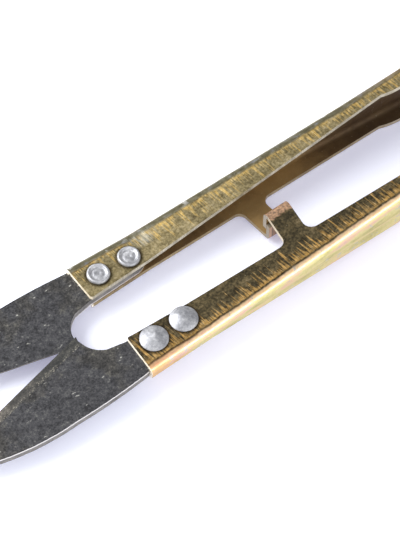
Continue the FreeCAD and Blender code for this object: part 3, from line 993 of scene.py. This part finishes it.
def with_fold_and_web(f, colour):
    """The fold, a painted highlight on the left side and painted shade on the right, and its crease line,
    then the web with its iridescent patches and bare zinc spots.
    """
    sweep = f.over_strip(0.5, 1.4)
    # fold colours: painted highlight on the left side, painted shade on the right
    fold = f.palette(f.noise(sweep, 1.0, 4.0, 0.6), "fold")
    colour = f.mix(f.ramp(f.past_bend, 0.06, -0.25), colour, fold)
    crease = f.ramp(f.absolute(f.minus(f.past_bend, 0.06)), 0.16, 0.04)
    crease = f.times(crease, f.ramp(f.noise(sweep, 2.2, 3.0), 0.40, 0.58))
    colour = f.mix(f.times(crease, f.ramp(f.u, 20.0, 8.0, 0.12, 0.5)), colour, srgb("6b4f33"))

    drift = f.noise(f.over_strip(0.13, 0.42), 1.0, 3.0, 0.55, 0.25)
    web = f.palette(f.times_plus(f.mottle, 0.22, f.times(drift, 0.78)), "web")
    colour = f.mix(f.ramp(f.times_plus(f.fine, 0.3, f.q), -0.45, -1.05), colour, web)
    off_flange = f.ramp(f.q, 0.3, -0.3)
    flushed = f.times(f.ramp(f.times_plus(drift, 6.0, f.u), 13.0, 4.0), off_flange)
    colour = f.mix(f.times(flushed, f.look["flush"]), colour, srgb("d89c6c"))
    worn = f.times(f.ramp(f.noise(f.over_strip(0.8, 1.0), 0.9, 4.0, 0.6), 0.61, 0.66), off_flange)
    return f.mix(f.times(worn, 0.8), colour, srgb("b4b2ac"))


def with_scuff(f, colour):
    """A pale scuff behind the rear rivet's upset tail."""
    reach = f.vector(f.times(f.minus(f.u, SCUFF_U), 0.55), f.minus(f.q, SCUFF_Q), 0.0)
    far = f.length(f.shifted(reach, f.wobble(f.grain_at, 0.9, 1.6)))
    scuff = f.times(f.ramp(far, 2.0, 0.6), f.ramp(f.fine, 0.36, 0.64))
    return f.mix(f.times(scuff, f.ramp(f.end, -0.2, -0.6, 0.0, 0.75)), colour, srgb("c3c4ba"))


def with_tab_and_inside(f, colour):
    """The tab's fold is scraped to copper, and the inside of the channel is a deeper brown, with painted
    light making it palest next to the tab and painted shade darkening it towards the bow.
    """
    copper = f.bands(f.noise(f.grain_at, 3.0, 3.0), [(0.3, "76665a"), (0.5, "ad8a6e"), (0.7, "cfa888")])
    ragged_tab = f.times_plus(f.noise(f.grain_at, 1.6, 3.0), 0.5, f.minus(f.tab, 0.25))
    colour = f.mix(f.ramp(ragged_tab, 0.68, 0.82), colour, copper)
    brown = f.bands(f.noise(f.over_strip(0.5, 0.6), 0.9, 3.0), INSIDE)
    # painted light: paler inside the channel next to the tab
    painted_light_beside_tab = f.ramp(f.absolute(f.minus(f.u, PALE_INSIDE_U)), 14.0, 4.0, 0.0, 0.5)
    brown = f.mix(painted_light_beside_tab, brown, srgb("b0925f"))
    # painted shade: the inside of the channel darkens towards the bow
    brown = f.mix(f.ramp(f.u, 38.0, 54.0, 0.0, 0.75), brown, srgb("38281a"))
    return f.mix(f.ramp(f.inside, 0.4, 0.6), colour, brown)


def with_specks(f, colour):
    """Fine pale specks all over."""
    specks = f.ramp(f.spots(f.grain_at, 2.2), 0.16, 0.06)
    specks = f.times(specks, f.ramp(f.noise(f.grain_at, 0.9, 1.0), 0.5, 0.62))
    return f.mix(f.times(specks, 0.45), colour, srgb("cdc6ae"))


def plated_steel(side):
    """Yellow chromate over zinc, scraped across the flanges where the folding tool slid off them."""
    f = Plating(side)
    colour = with_rivet_shade_and_grime(f, flange_colour(f), side)
    colour = with_fold_and_web(f, colour)
    if side == "right":
        colour = with_scuff(f, colour)
    colour = with_specks(f, with_tab_and_inside(f, colour))
    f.put(f.shader.inputs["Metallic"], f.ramp(f.inside, 0.4, 0.6, 0.85, 0.5))
    rough = f.ramp(f.noise(f.grain_at, 1.4, 4.0, 0.6), 0.3, 0.7, 0.30, 0.48)
    height = f.times_plus(f.fine, 0.6, f.times(f.mottle, 0.6))
    return f.done(colour, f.times_plus(f.inside, 0.18, rough), height, 0.30, 0.03)


def sheared_steel(side):
    """Bare cut edges of the sheet, with shear lines across the thickness and a painted highlight on the
    front ends. The right arm's edges are painted duller, as painted shade.
    """
    f = Finish(f"sheared_steel_{side}", 0.35)
    u, q, end = f.attribute("run")
    # mask of the painted highlight on the front ends of the sheet
    front = f.ramp(u, 0.9, 0.3)
    at = f.vector(u, f.times(q, 0.4), end)
    lines = f.noise(at, 5.0, 3.0, 0.6)
    tone = f.times_plus(lines, 0.5, f.times(f.noise(at, 0.6, 2.0), 0.5))
    colour = f.bands(tone, [(0.30, "bfb094"), (0.5, "ded4bd"), (0.7, "f2ecdd")])
    # painted shade: the right arm's cut edges are painted greyer and duller than the left's
    if side == "right":
        grey = f.bands(tone, [(0.30, "7c745f"), (0.5, "a39b86"), (0.7, "cbc4b2")])
        dull = f.bands(tone, [(0.30, "6a5836"), (0.5, "8b784e"), (0.7, "a8966c")])
        right_edge_painted_shade = f.mix(f.ramp(end, 0.2, 0.6), grey, dull)
        colour = f.mix(f.ramp(u, BOW_BLEND_FROM, APEX_U), right_edge_painted_shade, colour)
    tab = f.attribute("part")[1]
    colour = f.mix(f.ramp(tab, 0.1, 0.5, 0.0, 0.6), colour, srgb("a08d6c"))
    colour = f.mix(f.ramp(tab, 0.9, 0.98, 0.0, 0.7), colour, srgb("7b756b"))
    # painted highlight on the front ends: paler colour and less metallic
    colour = f.mix(front, colour, f.bands(tone, [(0.30, "e3d3b4"), (0.5, "f6ead2"), (0.7, "fffaf0")]))
    f.put(f.shader.inputs["Metallic"], f.ramp(front, 0.0, 1.0, 0.35, 0.05))
    return f.done(colour, f.ramp(lines, 0.3, 0.7, 0.28, 0.45), lines, 0.35, 0.03)


def blade_face():
    """Dark blued plate, mottled, with pale scratches and pits."""
    f = Finish("blade_face", 0.55)
    at = f.place_mm()
    coarse = f.noise(at, 0.9, 3.0, 0.6)
    grain = f.noise(at, 3.2, 5.0, 0.7)
    tone = f.times_plus(grain, 0.62, f.times(coarse, 0.38))
    plate = [(0.40, "1d1d20"), (0.47, "303033"), (0.55, "404043"), (0.62, "545453"), (0.70, "7a7974")]
    colour = f.bands(tone, plate)
    stain = f.ramp(f.noise(at, 0.14, 3.0, 0.6), 0.48, 0.62, 0.0, 0.35)
    colour = f.mix(stain, colour, f.bands(tone, [(0.42, "25231c"), (0.55, "444034"), (0.68, "7d7662")]))
    dash_at = f.stretched(f.shifted(at, f.wobble(at, 0.35, 2.0)), -25, 0.55, 1.5)
    nibbled = f.times_plus(f.noise(at, 5.0, 2.0), 0.30, f.spots(dash_at, 0.9))
    flecks = f.ramp(nibbled, 0.32, 0.21)
    flecks = f.times(flecks, f.ramp(f.noise(at, 0.7, 2.0), 0.46, 0.60))
    scratches = f.ramp(f.noise(f.stretched(at, 38, 0.35, 2.6), 1.3, 4.0, 0.7), 0.66, 0.74)
    pale = f.larger(f.times(flecks, 0.8), f.times(scratches, 0.5))
    colour = f.mix(pale, colour, srgb("a9a8a2"))
    rough = f.ramp(tone, 0.35, 0.65, 0.62, 0.46)
    return f.done(colour, rough, f.plus(grain, pale), 0.45, 0.05)


def blade_side():
    """Grey sheared sides with a painted highlight: a bright band below the faces."""
    f = Finish("blade_side", 0.75)
    at = f.place_mm()
    grain = f.noise(at, 4.0, 4.0, 0.65)
    broad = f.noise(at, 0.5, 2.0)
    tone = f.times_plus(grain, 0.55, f.times(broad, 0.45))
    colour = f.bands(tone, [(0.32, "57544f"), (0.5, "79756f"), (0.68, "9d9993")])
    # painted highlight: a bright band just below each blade's outer face
    painted_highlight_band = f.ramp(f.times_plus(grain, 0.30, f.below_face(f.split(at)[2])), 0.52, 0.34)
    colour = f.mix(painted_highlight_band, colour, srgb("dedad6"))
    rough = f.ramp(grain, 0.3, 0.7, 0.36, 0.55)
    return f.done(colour, rough, grain, 0.5, 0.05)


def blade_bevel():
    """Ground bevel: dark and mottled like the faces at the heel, browner and paler towards the tip."""
    f = Finish("blade_bevel", 0.25)
    f.shader.inputs["Specular IOR Level"].default_value = 0.25
    at = f.place_mm()
    lines = f.noise(f.stretched(at, 20, 2.2, 0.5), 1.8, 4.0, 0.65)
    grain = f.noise(at, 3.4, 4.0, 0.7)
    patches = f.noise(at, 0.8, 3.0, 0.6)
    tone = f.times_plus(grain, 0.5, f.times_plus(lines, 0.2, f.times(patches, 0.3)))
    dark = f.bands(tone, [(0.40, "181818"), (0.50, "2a2a29"), (0.58, "3d3c38"), (0.68, "6f6b60")])
    pale = f.bands(tone, [(0.38, "2c2a27"), (0.50, "4c4843"), (0.58, "69645d"), (0.68, "948e82")])
    near_tip = f.ramp(f.times_plus(patches, 8.0, f.split(at)[0]), 34.0, 52.0)
    below_face = f.below_face(f.split(at)[2])
    ragged = f.times_plus(f.noise(at, 2.2, 3.0), -0.55, f.plus(below_face, 0.28))
    share = f.times(near_tip, f.ramp(ragged, 0.02, 0.30))
    colour = f.mix(share, dark, pale)
    along_border = f.times_plus(patches, -1.2, f.plus(below_face, 0.55))
    burrs = f.times(f.ramp(f.noise(at, 4.2, 3.0, 0.7), 0.56, 0.64), f.ramp(along_border, 0.45, 0.10))
    colour = f.mix(f.times(burrs, 0.7), colour, srgb("a39d90"))
    return f.done(colour, f.ramp(lines, 0.3, 0.7, 0.50, 0.66), tone, 0.45, 0.05)


def rivet_steel(side):
    """Tumbled rivet wire: satin grey, with darker smudges and paler worn spots. The tails are brighter."""
    f = Finish(f"rivet_satin_{side}", 0.6)
    at = f.place_mm()
    grain = f.noise(at, 3.0, 5.0, 0.7)
    smudge = f.noise(at, 0.7, 3.0, 0.6)
    tone = f.times_plus(grain, 0.5, f.times(smudge, 0.5))
    colour = f.bands(tone, [(0.32, "6f7075"), (0.46, "8a8b90"), (0.56, "9fa0a4"), (0.68, "c6c6ca")])
    towards_dome = f.times(f.minus(f.split(at)[2], SHIFT.z), TURN[side])
    colour = f.mix(f.ramp(towards_dome, 0.5, -0.5, 0.0, 0.07), colour, srgb("cfcfd3"))
    dents = f.noise(at, 1.1, 3.0, 0.6)
    height = f.times_plus(grain, 0.5, dents)
    return f.done(colour, f.ramp(smudge, 0.3, 0.7, 0.40, 0.56), height, 0.42, 0.09)


# ---------- camera, floor, light ----------
AZIMUTH = math.radians(144.25)
ELEVATION = math.radians(58.0)
AIM = Vector((3.51, -0.1, 4.8)) * MM
DISTANCE = 299.2 * MM
LENS = 135.1
SENSOR_WIDTH = 36.0


def add_camera():
    flat = math.cos(ELEVATION)
    back = Vector((math.sin(AZIMUTH) * flat, -math.cos(AZIMUTH) * flat, math.sin(ELEVATION)))
    data = bpy.data.cameras.new("camera")
    data.lens = LENS
    data.sensor_width = SENSOR_WIDTH
    data.clip_start = 0.01
    camera = bpy.data.objects.new("camera", data)
    camera.location = AIM + back * DISTANCE
    camera.rotation_euler = back.to_track_quat("Z", "Y").to_euler()
    bpy.context.scene.collection.objects.link(camera)
    bpy.context.scene.camera = camera


FLOOR_HALF = 1.5             # metres
FLOOR_STEPS = 12
DOME_CLEARANCE = 0.03 * MM


def add_floor():
    """The snips rest on the bow's lower edge and the lower domes, so the floor leans a little."""
    bm = bmesh.new()
    ticks = spread(-FLOOR_HALF, FLOOR_HALF, FLOOR_STEPS)
    grid = [[bm.verts.new((x, y, 0)) for x in ticks] for y in ticks]
    for near, far in zip(grid, grid[1:]):
        for i in range(FLOOR_STEPS):
            bm.faces.new((near[i], near[i + 1], far[i + 1], far[i]))
    paper = Finish("pale_paper", 0.0)
    set_inputs(paper.shader, {"Base Color": (0.71, 0.74, 0.77, 1), "Roughness": 0.9})
    set_inputs(paper.shader, {"Emission Color": (0.26, 0.252, 0.36, 1), "Emission Strength": 1.0})
    set_inputs(paper.shader, {"Specular IOR Level": 0.0})
    floor = finish_mesh("floor", bm, [paper.material])
    rivet_low, rivet_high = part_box("right_front_rivet")
    bow_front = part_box("spring_bow")[1].x
    slope = (rivet_low.z - DOME_CLEARANCE) / ((rivet_low.x + rivet_high.x) / 2 - bow_front)
    floor.location = (bow_front, 0, 0)
    floor.rotation_euler = (0, -math.atan(slope), 0)


def add_light(name, location, size, power):
    data = bpy.data.lights.new(name, "AREA")
    data.shape = "RECTANGLE"
    data.size, data.size_y = size
    data.energy = power
    light = bpy.data.objects.new(name, data)
    light.location = location
    light.rotation_euler = Vector(location).to_track_quat("Z", "Y").to_euler()
    bpy.context.scene.collection.objects.link(light)


def add_world():
    """Even pale surroundings, dimmer overhead on the far side, as in a light tent with an opening."""
    world = bpy.data.worlds.new("world")
    bpy.context.scene.world = world
    world.use_nodes = True
    tree = world.node_tree
    background = tree.nodes["Background"]
    coordinates = tree.nodes.new("ShaderNodeTexCoord")
    towards = tree.nodes.new("ShaderNodeVectorMath")
    towards.operation = "DOT_PRODUCT"
    towards.inputs[1].default_value = Vector((-0.30, -0.42, 0.85)).normalized()
    tree.links.new(coordinates.outputs["Generated"], towards.inputs[0])
    ramp = tree.nodes.new("ShaderNodeMapRange")
    ramp.interpolation_type = "SMOOTHSTEP"
    set_inputs(ramp, {"From Min": 0.55, "From Max": 0.97, "To Min": 0.95, "To Max": 0.42})
    tree.links.new(towards.outputs["Value"], ramp.inputs["Value"])
    tree.links.new(ramp.outputs[0], background.inputs["Strength"])
    background.inputs["Color"].default_value = (1, 1, 1, 1)


add_camera()
add_world()
add_floor()
# the last numbers are the sizes in metres and the watts
add_light("far_softbox", (0.36, -0.45, 0.45), (0.7, 0.55), 11.0)
add_light("near_softbox", (-0.05, 0.60, 0.28), (0.8, 0.25), 3.0)
bpy.context.scene.view_settings.view_transform = "Standard"

for side in ("left", "right"):
    make_frame_half(side, [plated_steel(side), sheared_steel(side)])
blade_materials = [blade_face(), blade_side(), blade_bevel()]
for side in ("left", "right"):
    make_blade(side, blade_materials)
    satin = rivet_steel(side)
    for position, u in zip(("front", "rear"), RIVET_U):
        make_rivet(side, position, u, satin)
